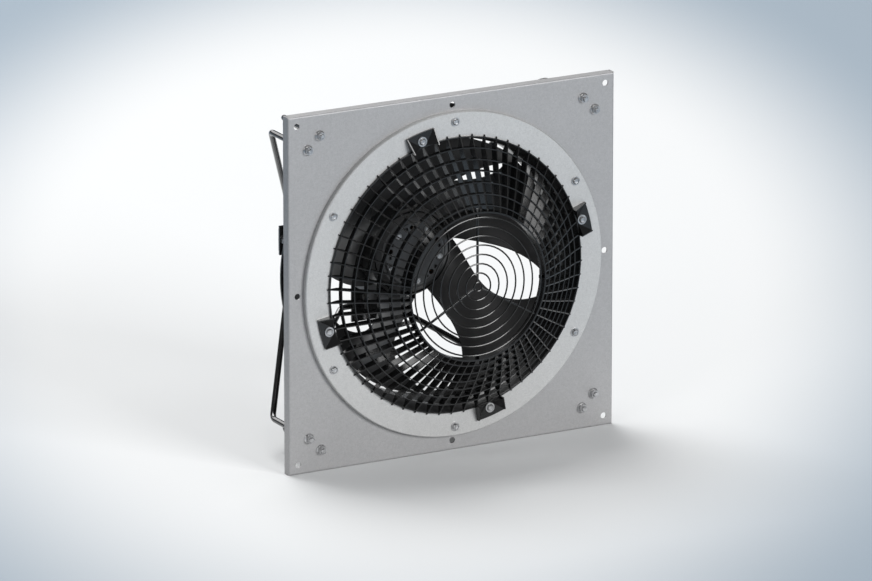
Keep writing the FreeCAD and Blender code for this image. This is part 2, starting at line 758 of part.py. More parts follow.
def motor_housing():
    # Die-cast body: front flange with the bearing post, finned pot for the electronics behind it.
    y0 = housing_front_y
    y1 = housing_rear_y
    bore = bearing_od / 2 + press_fit
    front_y = bearing_front_y
    seat_y = bearing_front_y + bearing_w
    r_in = housing_r - housing_wall
    floor = y0 + housing_flange_t
    body = turned([(bore, front_y), (post_r, front_y), (post_r, y0), (housing_r, y0), (housing_r, y1),
                   (r_in, y1), (r_in, floor), (post_r, floor), (post_r, post_end_y), (bore, post_end_y),
                   (bore, bearing_rear_y), (bore - 2.0, bearing_rear_y), (bore - 2.0, seat_y),
                   (bore, seat_y)])
    rib = Part.makeBox(cooling_fin_h + housing_wall / 2, y1 - y0 - 8, cooling_fin_t,
                       V(housing_r - housing_wall / 2, y0 + 4, -cooling_fin_t / 2))
    ribs = [r for i, r in enumerate(around(rib, cooling_fins)) if i % cooling_fins not in (17, 18, 19)]
    bosses = [rod_at(p, boss_d, floor - 1, y1) for p in bracket_screws()]
    bosses += [rod_at(p, 8.0, floor - 1, board_y) for p in board_posts()]
    body = body.multiFuse(ribs + bosses)
    seat = Part.makeCylinder(gland_d / 2 + 3.0, housing_wall + 3.0, V(0, gland_y, -housing_r - 2.0),
                             V(0, 0, 1))
    hole = Part.makeCylinder(gland_d / 2 - 2.0 + 2 * thread_fit, 3 * housing_wall,
                             V(0, gland_y, -housing_r - 2 * housing_wall), V(0, 0, 1))
    holes = [rod_at(p, m5 + 2 * thread_fit, y1 - 18, y1) for p in bracket_screws()]
    return cut_all(body.fuse(seat), holes + [hole])


def bearing_plug():
    # Closes the post behind the rear bearing, so that nothing reaches it from the electronics.
    return ring(0, bearing_od / 2, post_end_y - plug_t, post_end_y)


def board_posts():
    return [polar(board_post_r, 90 + 120 * i) for i in range(3)]


def rear_cover():
    y0, y1 = cover_y, cover_y + cover_t
    r_in = housing_r - housing_wall - side_fit
    lid = turned([(0, y0), (housing_r, y0), (housing_r, y1 - 1.5), (housing_r - 1.5, y1), (0, y1)])
    lip = ring(r_in - 2.0, r_in, y0 - 3.0, y0)
    clear = [rod_at(p, boss_d + 2 * side_fit, y0 - 4, y0) for p in bracket_screws()]
    lid = lid.fuse(cut_all(lip, clear))
    return cut_all(lid, [rod_at(p, m5_hole, y0, y1) for p in bracket_screws()])


def circuit_board():
    y0 = board_y
    board = ring(0, housing_screw_r - 7.0, y0, y0 + 1.6)
    blocks = [(-24.0, 8.0, 20.0, 26.0), (6.0, -30.0, 26.0, 14.0), (4.0, 10.0, 22.0, 22.0)]
    parts = [Part.makeBox(w, 14.0, d, V(x, y0 + 1.6, z)) for x, z, w, d in blocks]
    return board.multiFuse(parts)


def cable_gland():
    # Screwed gland with a hexagon, a clamping dome and a bore for the lead.
    z0 = -housing_r - 2.0
    down = V(0, 0, -1)
    bore = cable_d / 2 + seal_t
    nipple = Part.makeCylinder(gland_d / 2 - 2.0, housing_wall + 2.0, V(0, gland_y, z0), V(0, 0, 1))
    corners = [V(0, gland_y, z0) + V(13.0 * math.cos(math.radians(60 * i)),
                                     13.0 * math.sin(math.radians(60 * i)), 0) for i in range(7)]
    hexa = Part.Face(Part.makePolygon(corners)).extrude(V(0, 0, -6.0))
    body = Part.makeCylinder(gland_d / 2, gland_len - 6.0, V(0, gland_y, z0 - 6.0), down)
    tip = [e for e in body.Edges if abs(e.CenterOfMass.z - (z0 - gland_len)) < 1e-6]
    body = body.makeFillet(4.0, tip)
    gland = nipple.multiFuse([hexa, body])
    through = Part.makeCylinder(bore, gland_len + 3 * housing_wall, V(0, gland_y, z0 - gland_len),
                                V(0, 0, 1))
    return gland.cut(through)


def gland_seal():
    # Rubber sleeve that grips the lead inside the gland's outer end.
    start = V(0, gland_y, -housing_r - 2.0 - gland_len)
    outer = Part.makeCylinder(cable_d / 2 + seal_t - press_fit, seal_len, start, V(0, 0, 1))
    return outer.cut(Part.makeCylinder(cable_d / 2, seal_len, start, V(0, 0, 1)))


def save(name, shapes):
    solids = [s for shape in shapes for s in shape.Solids]
    for s in solids:
        if not s.isValid() or s.Volume <= 0:
            raise ValueError("bad solid in " + name)
    out = solids[0] if len(solids) == 1 else Part.makeCompound(solids)
    out.exportStep("parts/" + name + ".step")


def screw_set(points, thread, head_y, tip_y):
    return [pan_screw(p, thread, head_y, tip_y) for p in points]


def build():
    os.makedirs("parts", exist_ok=True)
    save("wall_plate", [wall_plate()])
    save("nozzle", [nozzle()])
    save("cap_ring", [cap_ring()])
    save("inlet_grid", [inlet_grid()])
    save("finger_guard", [finger_guard()])
    for name, angle in (("strut_top", 0), ("strut_left", 90), ("strut_bottom", 180), ("strut_right", 270)):
        save(name, [strut(angle)])
    save("strut_nuts", strut_nuts())
    save("strut_washers", strut_washers())
    save("motor_bracket", [motor_bracket()])
    save("rod_clamps", around(rod_clamp(), 4))
    clamp_face_y = bracket_y + bracket_t + clamp_t
    save("clamp_screws", screw_set(clamp_screw_points(), m6, clamp_face_y, bracket_y - 7.0))
    save("clamp_nuts", [hex_nut(p, m6, bracket_y - 5.0, bracket_y) for p in clamp_screw_points()])
    cap_top = cap_face_y - washer_t
    save("cap_washers", [washer(p, m5 + 2 * thread_fit, 12.0, cap_top, cap_face_y) for p in cap_screws()])
    save("cap_screws", screw_set(cap_screws(), m5, cap_top, plate_back_y + 6.0))
    save("grid_washers", [washer(p, m5 + 2 * thread_fit, 13.0, pad_face_y - washer_t, pad_face_y)
                          for p in grid_screws()])
    save("grid_screws", screw_set(grid_screws(), m5, pad_face_y - washer_t, plate_back_y + 6.0))
    back_points = cap_screws() + grid_screws()
    save("back_nuts", [hex_nut(p, m5, plate_back_y, plate_back_y + 4.5) for p in back_points])
    save("impeller", [impeller()])
    save("hub_disc", [hub_disc()])
    save("disc_screws", screw_set(disc_screws(), m5, disc_y, can_front_y + can_front_t + 1.0))
    save("shaft", [shaft()])
    save("retaining_ring", [retaining_ring()])
    save("rotor_can", [rotor_can()])
    save("magnet_ring", [magnet_ring()])
    save("stator_core", [stator_core()])
    save("stator_windings", stator_windings())
    front = bearing_parts(bearing_front_y)
    rear = bearing_parts(bearing_rear_y)
    save("front_bearing_outer", [front[0]])
    save("front_bearing_inner", [front[1]])
    save("rear_bearing_outer", [rear[0]])
    save("rear_bearing_inner", [rear[1]])
    save("bearing_balls", front[2] + rear[2])
    save("motor_housing", [motor_housing()])
    save("bearing_plug", [bearing_plug()])
    save("circuit_board", [circuit_board()])
    save("rear_cover", [rear_cover()])
    cover_screw_y = bracket_y + bracket_t
    save("cover_screws", screw_set(bracket_screws(), m5, cover_screw_y, housing_rear_y - 14.0))
    save("cable_gland", [cable_gland()])
    save("gland_seal", [gland_seal()])


build()
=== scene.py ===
import math

import bmesh
import bpy
from mathutils import Matrix, Vector


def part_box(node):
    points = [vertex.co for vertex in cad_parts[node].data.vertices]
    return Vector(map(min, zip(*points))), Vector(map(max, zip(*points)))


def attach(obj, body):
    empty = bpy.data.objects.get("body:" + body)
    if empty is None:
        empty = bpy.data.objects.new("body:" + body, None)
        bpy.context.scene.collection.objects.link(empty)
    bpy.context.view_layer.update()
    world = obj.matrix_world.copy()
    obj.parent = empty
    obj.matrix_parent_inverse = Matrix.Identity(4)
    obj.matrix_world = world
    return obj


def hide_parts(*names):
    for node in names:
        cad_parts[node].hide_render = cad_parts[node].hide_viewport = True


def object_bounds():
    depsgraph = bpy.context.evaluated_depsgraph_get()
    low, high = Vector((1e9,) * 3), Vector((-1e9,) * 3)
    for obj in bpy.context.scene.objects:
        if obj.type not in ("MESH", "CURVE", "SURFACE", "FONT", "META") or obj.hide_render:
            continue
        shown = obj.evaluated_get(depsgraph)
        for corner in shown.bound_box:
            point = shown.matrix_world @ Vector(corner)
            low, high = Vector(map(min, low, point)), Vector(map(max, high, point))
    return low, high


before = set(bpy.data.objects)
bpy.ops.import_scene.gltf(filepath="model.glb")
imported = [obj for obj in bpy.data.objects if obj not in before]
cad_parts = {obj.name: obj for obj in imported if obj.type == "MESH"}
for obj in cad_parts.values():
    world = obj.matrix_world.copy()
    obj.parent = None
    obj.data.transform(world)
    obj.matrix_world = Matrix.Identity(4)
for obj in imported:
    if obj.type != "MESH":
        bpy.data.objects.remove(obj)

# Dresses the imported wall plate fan: finishes for its sheet metal, mouldings, rods and motor, finer
# fasteners and guard wires in place of the plain ones, and a plain studio round it.
# Metres. +Z is up, the fan axis is Y, and the inlet side looks along -Y.

bl_info = {
    "name": "Wall Plate Fan Dressing",
    "version": (1, 0, 0),
    "blender": (4, 5, 0),
    "location": "View3D > Sidebar > Fan",
    "description": "Finishes, small fasteners and studio for a wall plate ventilation fan",
    "category": "Object",
}

CAD_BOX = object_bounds()
AROUND = 24
PHOTO_SIZE = (872, 581)
ROD_HOLE_STEP = 0.0175

# Camera frame, fitted to the plate's corners and holes; its place is in plate sides
PLATE_SIDE = 0.485
FOCAL_PIXELS = 8940.56
CAMERA_RIGHT = Vector((0.87904, -0.47673, 0.0))
CAMERA_UP = Vector((0.13494, 0.24882, 0.95911))
CAMERA_BACK = Vector((-0.45724, -0.84310, 0.28306))
CAMERA_PLACE = PLATE_SIDE * (24.16378 * CAMERA_BACK - 0.0440728 * CAMERA_RIGHT
                             - 0.0464605 * CAMERA_UP)


def colour(name, about, value):
    return bpy.props.FloatVectorProperty(name=name, description=about, default=value, size=3,
                                         subtype="COLOR", min=0.0, max=1.0)


def length(name, about, millimetres):
    return bpy.props.FloatProperty(name=name, description=about, default=millimetres / 1000.0,
                                   unit="LENGTH", min=0.0)


def share(name, about, value):
    return bpy.props.FloatProperty(name=name, description=about, default=value, min=0.0, max=1.0,
                                   subtype="FACTOR")


class FanFinishes(bpy.types.PropertyGroup):
    zinc: colour("Zinc", "Colour of the zinc-coated wall plate", (0.400, 0.398, 0.402))
    cap: colour("Cap ring", "Colour of the sheet ring over the nozzle", (0.56, 0.56, 0.555))
    black: colour("Black moulding", "Colour of the inlet grid and the guard",
                  (0.011, 0.011, 0.0112))
    blade: colour("Impeller", "Colour of the blades and the hub", (0.026, 0.026, 0.0265))
    rod: colour("Rods", "Colour of the coated rods and the bracket", (0.004, 0.004, 0.0042))
    steel: colour("Fasteners", "Colour of the zinc-plated screws and nuts", (0.57, 0.57, 0.575))
    casting: colour("Motor housing", "Colour of the cast motor housing", (0.42, 0.43, 0.44))
    sheet_roughness: share("Sheet roughness", "Roughness of the zinc-coated sheet", 0.52)
    moulding_roughness: share("Moulding roughness", "Roughness of the black mouldings", 0.24)


class FanFasteners(bpy.types.PropertyGroup):
    nut_across: length("Nut width", "Distance across the flats of the flange nuts", 10.0)
    nut_flange: length("Nut flange", "Diameter of the nuts' flange", 14.2)
    nut_height: length("Nut height", "Height of the flange nuts", 6.2)
    stud: length("Stud", "Diameter of the rods' threaded ends", 6.0)
    thread_pitch: length("Thread pitch", "Pitch of the studs' thread", 1.0)
    head: length("Screw head", "Diameter of the ring screws' heads", 9.5)
    head_height: length("Head height", "Height of the ring screws' heads", 2.75)
    socket: length("Socket", "Width of the hexagon in the screw heads", 5.2)


class FanStudio(bpy.types.PropertyGroup):
    floor: colour("Floor", "Colour of the floor round the fan", (0.74, 0.75, 0.755))
    # edge: painted shade, the darker bluish-grey that the floor is given away from the fan in place
    # of light falloff.
    edge: colour("Floor edge", "Colour of the floor away from the fan", (0.33, 0.39, 0.45))
    floor_size: length("Floor size", "Half the side of the floor", 14000.0)
    world: share("Surround", "Strength of the even light from all round", 0.16)


# ---------------------------------------------------------------- mesh help

def finished(bm, name, sharp=40.0):
    bmesh.ops.remove_doubles(bm, verts=bm.verts, dist=1e-7)
    bmesh.ops.recalc_face_normals(bm, faces=bm.faces)
    mesh = bpy.data.meshes.new(name)
    bm.to_mesh(mesh)
    bm.free()
    mesh.shade_smooth()
    mesh.set_sharp_from_angle(angle=math.radians(sharp))
    piece = bpy.data.objects.new(name, mesh)
    bpy.context.scene.collection.objects.link(piece)
    return piece


def loop(bm, place, radius, depth, corners):
    # AROUND edges in a plane across Y, in the order of their angle: a circle, or a hexagon with
    # split sides.
    made = bmesh.ops.create_circle(bm, cap_ends=False, segments=corners, radius=radius)
    edges = list({e for v in made["verts"] for e in v.link_edges})
    if corners != AROUND:
        split = bmesh.ops.subdivide_edges(bm, edges=edges, cuts=AROUND // corners - 1)
        edges = [g for g in split["geom_split"] if isinstance(g, bmesh.types.BMEdge)]
    edges.sort(key=middle_angle)
    turn = Matrix.Rotation(math.radians(90), 4, "X")
    move = Matrix.Translation((place[0], depth, place[1]))
    verts = list({v for e in edges for v in e.verts})
    bmesh.ops.transform(bm, matrix=move @ turn, verts=verts)
    return edges


def middle_angle(edge):
    middle = edge.verts[0].co + edge.verts[1].co
    return math.atan2(middle.y, middle.x) % (2 * math.pi)


def stacked(bm, place, sections):
    # Joins loops one after the other and closes both ends: (radius, depth, corners) each.
    loops = [loop(bm, place, r, y, corners) for r, y, corners in sections]
    for low, high in zip(loops, loops[1:]):
        for pair in zip(low, high):
            bmesh.ops.contextual_create(bm, geom=list(pair))
    for edges in (loops[0], loops[-1]):
        bmesh.ops.edgeloop_fill(bm, edges=edges)


def on_circle(radius, start, count):
    return [(radius * math.cos(math.radians(start + 360.0 * i / count)),
             radius * math.sin(math.radians(start + 360.0 * i / count))) for i in range(count)]


# ---------------------------------------------------------------- materials

class Finish:
    """One node material, with short calls that add a node and wire it up."""

    def __init__(self, name, base, roughness, metallic=0.0, specular=0.5, coat=0.0):
        self.material = bpy.data.materials.new(name)
        self.material.use_nodes = True
        self.nodes = self.material.node_tree.nodes
        self.wire = self.material.node_tree.links.new
        self.shader = self.nodes["Principled BSDF"]
        self.base = tuple(base) + (1.0,)
        self.shader.inputs["Base Color"].default_value = self.base
        self.shader.inputs["Roughness"].default_value = roughness
        self.shader.inputs["Metallic"].default_value = metallic
        self.shader.inputs["Specular IOR Level"].default_value = specular
        self.shader.inputs["Coat Weight"].default_value = coat
        self.roughness = roughness
        self.place = self.nodes.new("ShaderNodeTexCoord").outputs["Object"]

    def stretched(self, scale):
        mapping = self.nodes.new("ShaderNodeMapping")
        mapping.inputs["Scale"].default_value = scale
        self.wire(self.place, mapping.inputs["Vector"])
        return mapping.outputs["Vector"]

    def noise(self, scale, detail=2.0, rough=0.5, place=None):
        node = self.nodes.new("ShaderNodeTexNoise")
        node.inputs["Scale"].default_value = scale
        node.inputs["Detail"].default_value = detail
        node.inputs["Roughness"].default_value = rough
        self.wire(place or self.place, node.inputs["Vector"])
        return node.outputs["Fac"]

    def cells(self, scale):
        node = self.nodes.new("ShaderNodeTexVoronoi")
        node.inputs["Scale"].default_value = scale
        self.wire(self.place, node.inputs["Vector"])
        return node.outputs["Color"]

    def ranged(self, value, low, high, start=0.3, end=0.7):
        node = self.nodes.new("ShaderNodeMapRange")
        node.inputs["From Min"].default_value = start
        node.inputs["From Max"].default_value = end
        node.inputs["To Min"].default_value = low
        node.inputs["To Max"].default_value = high
        self.wire(value, node.inputs["Value"])
        return node.outputs["Result"]

    def summed(self, a, b, kind="ADD"):
        node = self.nodes.new("ShaderNodeMath")
        node.operation = kind
        self.wire(a, node.inputs[0])
        self.wire(b, node.inputs[1])
        return node.outputs["Value"]

    def tint(self, factor, dark, light):
        # Base colour from dark to light shares of the finish's own colour.
        node = self.nodes.new("ShaderNodeMix")
        node.data_type = "RGBA"
        a, b = node.inputs[6], node.inputs[7]
        a.default_value = tuple(dark * c for c in self.base[:3]) + (1.0,)
        b.default_value = tuple(light * c for c in self.base[:3]) + (1.0,)
        self.wire(factor, node.inputs[0])
        self.wire(node.outputs[2], self.shader.inputs["Base Color"])

    def gloss(self, value, spread):
        self.wire(self.ranged(value, self.roughness - spread, self.roughness + spread),
                  self.shader.inputs["Roughness"])

    def bump(self, height, strength, distance):
        node = self.nodes.new("ShaderNodeBump")
        node.inputs["Strength"].default_value = strength
        node.inputs["Distance"].default_value = distance
        self.wire(height, node.inputs["Height"])
        self.wire(node.outputs["Normal"], self.shader.inputs["Normal"])

    def put(self, *names):
        for name in names:
            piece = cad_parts.get(name) or bpy.data.objects[name]
            piece.data.materials.clear()
            piece.data.materials.append(self.material)


def zinc_finish(name, base, roughness):
    # Fine spangle: small crystals that differ a little in shade and gloss, over cloudy patches.
    f = Finish(name, base, roughness, metallic=0.55, specular=0.5)
    grain = f.noise(620.0, 3.0, 0.75)
    cloud = f.noise(14.0, 3.0, 0.6)
    crystal = f.cells(330.0)
    mixed = f.summed(f.ranged(grain, 0.0, 0.6), f.ranged(cloud, 0.0, 0.12))
    mixed = f.summed(mixed, f.ranged(crystal, 0.0, 0.3, 0.0, 1.0))
    f.tint(mixed, 0.84, 1.16)
    f.gloss(f.noise(500.0, 2.0), 0.08)
    f.bump(grain, 0.15, 0.0003)
    return f


def moulded_finish(name, base, roughness, grain=900.0, depth=0.00012):
    # Moulded plastic: fine eroded grain with faint flow marks.
    f = Finish(name, base, roughness, specular=0.5)
    fine = f.noise(grain, 2.0, 0.6)
    flow = f.noise(18.0, 2.0, 0.5)
    f.tint(f.ranged(flow, 0.0, 1.0), 0.85, 1.2)
    f.gloss(flow, 0.06)
    f.bump(fine, 0.15, depth)
    return f


def coated_finish(name, base, roughness):
    # Powder coat: glossy skin with a slight orange peel.
    f = Finish(name, base, roughness, specular=0.6, coat=0.5)
    f.shader.inputs["Coat Roughness"].default_value = 0.06
    peel = f.noise(420.0, 2.0, 0.5)
    f.tint(f.noise(60.0), 0.85, 1.2)
    f.gloss(peel, 0.03)
    f.bump(peel, 0.06, 0.0001)
    return f


def plated_finish(name, base, roughness, metallic=1.0):
    f = Finish(name, base, roughness, metallic=metallic)
    wear = f.noise(260.0, 3.0, 0.6)
    f.tint(f.ranged(wear, 0.0, 1.0), 0.8, 1.1)
    f.gloss(wear, 0.08)
    f.bump(f.noise(2200.0), 0.08, 0.0001)
    return f


def cast_finish(name, base, roughness):
    f = Finish(name, base, roughness, metallic=0.75)
    skin = f.noise(650.0, 4.0, 0.65)
    f.tint(f.ranged(skin, 0.0, 1.0), 0.85, 1.08)
    f.gloss(skin, 0.08)
    f.bump(skin, 0.35, 0.0004)
    return f


def drawn_finish(name, base, roughness, scale, metallic=1.0):
    # Turned or stacked metal: thin lines across one axis.
    f = Finish(name, base, roughness, metallic=metallic)
    lines = f.noise(120.0, 2.0, 0.5, f.stretched(scale))
    f.tint(lines, 0.8, 1.15)
    f.gloss(lines, 0.08)
    f.bump(lines, 0.15, 0.0001)
    return f


# ---------------------------------------------------------------- operators

class FAN_OT_sheet_metal(bpy.types.Operator):
    """Give the wall plate and the cap ring their zinc-coated sheet"""
    bl_idname = "fan.sheet_metal"
    bl_label = "Sheet metal"

    def execute(self, context):
        s = context.scene.fan_finishes
        zinc_finish("zinc_plate", s.zinc, s.sheet_roughness).put("wall_plate")
        zinc_finish("zinc_cap", s.cap, s.sheet_roughness - 0.06).put("cap_ring")
        return {"FINISHED"}


class FAN_OT_mouldings(bpy.types.Operator):
    """Give the nozzle and the inlet grid their black moulded plastic"""
    bl_idname = "fan.mouldings"
    bl_label = "Black mouldings"

    def execute(self, context):
        s = context.scene.fan_finishes
        moulded_finish("grid_plastic", s.black, s.moulding_roughness).put("inlet_grid")
        moulded_finish("nozzle_plastic", s.black, s.moulding_roughness + 0.06).put("nozzle")
        return {"FINISHED"}


class FAN_OT_impeller(bpy.types.Operator):
    """Give the impeller, the hub disc and the rotor their finishes"""
    bl_idname = "fan.impeller"
    bl_label = "Impeller and rotor"

    def execute(self, context):
        s = context.scene.fan_finishes
        moulded_finish("blade_plastic", s.blade, 0.4, 1300.0, 0.00006).put("impeller")
        coated_finish("disc_coat", s.blade, 0.36).put("hub_disc", "rotor_can")
        drawn_finish("ground_steel", (0.6, 0.6, 0.61), 0.25, (1.0, 12.0, 1.0)).put(
            "shaft", "retaining_ring", "front_bearing_inner", "rear_bearing_inner", "bearing_balls",
            "front_bearing_outer", "rear_bearing_outer")
        cast_finish("sintered_magnet", (0.09, 0.09, 0.095), 0.6).put("magnet_ring")
        return {"FINISHED"}


class FAN_OT_rods(bpy.types.Operator):
    """Give the four rods, the bracket and the clamps their glossy black coat"""
    bl_idname = "fan.rods"
    bl_label = "Rods and bracket"

    def execute(self, context):
        s = context.scene.fan_finishes
        coated_finish("black_coat", s.rod, 0.14).put(
            "strut_top", "strut_left", "strut_bottom", "strut_right", "motor_bracket", "rod_clamps")
        return {"FINISHED"}


class FAN_OT_motor(bpy.types.Operator):
    """Give the motor housing and what it holds their finishes"""
    bl_idname = "fan.motor"
    bl_label = "Motor"

    def execute(self, context):
        s = context.scene.fan_finishes
        cast_finish("cast_housing", s.casting, 0.48).put("motor_housing", "bearing_plug")
        moulded_finish("cover_plastic", (0.022, 0.022, 0.024), 0.45).put("rear_cover")
        moulded_finish("gland_plastic", (0.025, 0.025, 0.026), 0.5).put("cable_gland")
        moulded_finish("seal_rubber", (0.014, 0.014, 0.014), 0.75).put("gland_seal")
        moulded_finish("board_lacquer", (0.02, 0.16, 0.06), 0.35, 300.0).put("circuit_board")
        drawn_finish("laminations", (0.35, 0.36, 0.38), 0.42, (1.0, 22.0, 1.0), 0.9).put(
            "stator_core")
        drawn_finish("copper_turns", (0.72, 0.30, 0.12), 0.3, (1.0, 16.0, 1.0), 0.9).put(
            "stator_windings")
        return {"FINISHED"}


class FAN_OT_fasteners(bpy.types.Operator):
    """Make the flange nuts, stud threads and screw heads, finer than the plain ones"""
    bl_idname = "fan.fasteners"
    bl_label = "Fasteners"

    def flange_nuts(self, f):
        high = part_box("strut_nuts")[1]
        outer = high.x - f.nut_flange / 2
        inner = outer - ROD_HOLE_STEP
        bm = bmesh.new()
        corner = f.nut_across / math.sqrt(3)
        face = high.y
        top = face - f.nut_height
        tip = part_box("strut_top")[0].y
        bore = f.stud / 2
        for sx in (-1, 1):
            for sz in (-1, 1):
                for a, b in ((inner, outer), (outer, inner)):
                    place = (sx * a, sz * b)
                    stacked(bm, place, [
                        (f.nut_flange / 2 - 0.0001, face - 0.0001, AROUND),
                        (f.nut_flange / 2, face - 0.0006, AROUND),
                        (f.nut_flange / 2 - 0.0006, face - 0.0013, AROUND),
                        (corner * 0.995, face - 0.0020, 6), (corner, face - 0.0026, 6),
                        (corner, top + 0.0009, 6), (corner * 0.88, top, AROUND),
                        (bore + 0.0007, top, AROUND), (bore + 0.0001, top + 0.0006, AROUND),
                        (bore + 0.0001, top + 0.0012, AROUND)])
                    stacked(bm, place, self.thread(tip, top + 0.0014, bore, f.thread_pitch))
        return finished(bm, "flange_nuts")

    def thread(self, tip, root, radius, pitch):
        low = radius + 0.00005
        end = tip - 0.0003
        sections = [(radius - 0.0003, end, AROUND), (low, end + 0.0003, AROUND)]
        y = end + 0.0003
        while y + pitch < root:
            sections += [(low + 0.0003, y + 0.5 * pitch, AROUND), (low, y + pitch, AROUND)]
            y += pitch
        return sections + [(low, root, AROUND)]

    def screw_heads(self, name, places, head_y, f, tip_y):
        bm = bmesh.new()
        r, h = f.head / 2, f.head_height
        hexagon = f.socket / math.sqrt(3)
        for place in places:
            stacked(bm, place, [
                (f.stud / 2 - 0.0006, tip_y, AROUND), (f.stud / 2 - 0.0005, head_y, AROUND),
                (r - 0.0002, head_y - 0.00005, AROUND), (r, head_y - 0.0006, AROUND),
                (r * 0.93, head_y - 0.55 * h, AROUND), (r * 0.80, head_y - 0.86 * h, AROUND),
                (r * 0.70, head_y - h, AROUND), (hexagon * 1.06, head_y - h, 6),
                (hexagon, head_y - h + 0.0003, 6), (hexagon, head_y - 0.72 * h, 6),
                (hexagon * 0.4, head_y - 0.66 * h, AROUND)])
        return finished(bm, name, 35.0)

    def execute(self, context):
        s = context.scene.fan_finishes
        f = context.scene.fan_fasteners
        bright = plated_finish("plated_steel", s.steel, 0.33)
        cap_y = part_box("cap_washers")[0].y
        grid_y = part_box("grid_washers")[0].y
        disc_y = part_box("hub_disc")[0].y
        ring, foot, rotor = 0.208, 0.195, 0.037
        plate_tip, rotor_tip = 0.008, 0.117
        pieces = [
            (self.flange_nuts(f), "housing", "strut_nuts"),
            (self.screw_heads("ring_screws", on_circle(ring, 90, 6), cap_y, f, plate_tip),
             "housing", "cap_screws"),
            (self.screw_heads("foot_screws", on_circle(foot, 15, 4), grid_y, f, plate_tip),
             "housing", "grid_screws"),
            (self.screw_heads("rotor_screws", on_circle(rotor, 60, 5), disc_y, f, rotor_tip),
             "impeller", "disc_screws"),
        ]
        for piece, body, node in pieces:
            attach(piece, body)
            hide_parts(node)
            bright.put(piece.name)
        bright.put("cap_washers", "grid_washers", "strut_washers", "back_nuts", "clamp_screws",
                   "clamp_nuts", "cover_screws")
        return {"FINISHED"}


class FAN_OT_foot_webs(bpy.types.Operator):
    """Add the slanting webs that lean from each grid foot's corners to its screw"""
    bl_idname = "fan.foot_webs"
    bl_label = "Foot webs"

    def execute(self, context):
        s = context.scene.fan_finishes
        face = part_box("cap_ring")[0].y - 0.003
        bm = bmesh.new()
        for start in (15, 105, 195, 285):
            for side in (-1, 1):
                self.web(bm, start, side, face)
        piece = finished(bm, "foot_webs", 20.0)
        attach(piece, "housing")
        # The webs get a darker copy of the black moulding, at 0.4 of its colour and with little
        # specular: painted shade, so that they read as the dark shaded facets by the feet.
        f = moulded_finish("web_painted_shade", [0.4 * c for c in s.black], 0.5)
        f.shader.inputs["Specular IOR Level"].default_value = 0.2
        f.put(piece.name)
        return {"FINISHED"}

    def web(self, bm, start, side, face):
        # Corner of the pad, foot of the side wall, its top on the rim, and a point by the screw.
        spots = [(0.2066, 5.5, 0.0), (0.1880, 5.5, 0.0), (0.1880, 5.5, 0.0095), (0.1885, 1.1, 0.0)]
        verts = []
        for radius, angle, rise in spots:
            turn = math.radians(start + side * angle)
            place = (radius * math.cos(turn), face - rise, radius * math.sin(turn))
            verts.append(bm.verts.new(place))
        bmesh.ops.convex_hull(bm, input=verts)


class FAN_OT_guard(bpy.types.Operator):
    """Make the finger guard with round wires, spokes and snap lugs"""
    bl_idname = "fan.guard"
    bl_label = "Finger guard"

    def execute(self, context):
        s = context.scene.fan_finishes
        low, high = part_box("finger_guard")
        wire, lug = 0.0022, 0.0047
        hub, pitch, tube = 0.006, 0.0125, 0.0935
        front = low.y
        bm = bmesh.new()
        for i in range(8):
            self.wire_ring(bm, hub + pitch * i, front + wire / 2, wire / 2)
        for angle in (90, 210, 330):
            self.bar(bm, hub, 0.0975, front + wire / 2, front + wire + 0.0026, wire, angle)
        for angle in (0, 90, 180, 270):
            self.bar(bm, tube - wire / 2, high.x, front + wire, front + wire + 0.0028, lug, angle)
            self.bar(bm, tube - wire / 2, tube + wire / 2, front + wire / 2, front + wire, lug,
                     angle)
        piece = finished(bm, "guard_wires")
        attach(piece, "housing")
        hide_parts("finger_guard")
        moulded_finish("guard_plastic", s.black, s.moulding_roughness - 0.06).put(piece.name)
        return {"FINISHED"}

    def wire_ring(self, bm, radius, depth, thick):
        made = bmesh.ops.create_circle(bm, cap_ends=False, segments=8, radius=thick)
        verts = made["verts"]
        bmesh.ops.translate(bm, vec=Vector((radius, depth, 0)), verts=verts)
        edges = list({e for v in verts for e in v.link_edges})
        bmesh.ops.spin(bm, geom=verts + edges, cent=(0, 0, 0), axis=(0, 1, 0),
                       angle=2 * math.pi, steps=max(28, int(radius * 900)), use_merge=True)

    def bar(self, bm, start, end, y0, y1, wide, angle):
        made = bmesh.ops.create_cube(bm, size=1.0)
        verts = made["verts"]
        bmesh.ops.scale(bm, vec=Vector((end - start, y1 - y0, wide)), verts=verts)
        bmesh.ops.translate(bm, vec=Vector(((start + end) / 2, (y0 + y1) / 2, 0)), verts=verts)
        edges = list({e for v in verts for e in v.link_edges})
        done = bmesh.ops.bevel(bm, geom=edges, offset=0.0004, offset_type="OFFSET", segments=2,
                               profile=0.5, affect="EDGES", material=-1)
        turn = Matrix.Rotation(math.radians(-angle), 4, "Y")
        bmesh.ops.transform(bm, matrix=turn, verts=done["verts"])


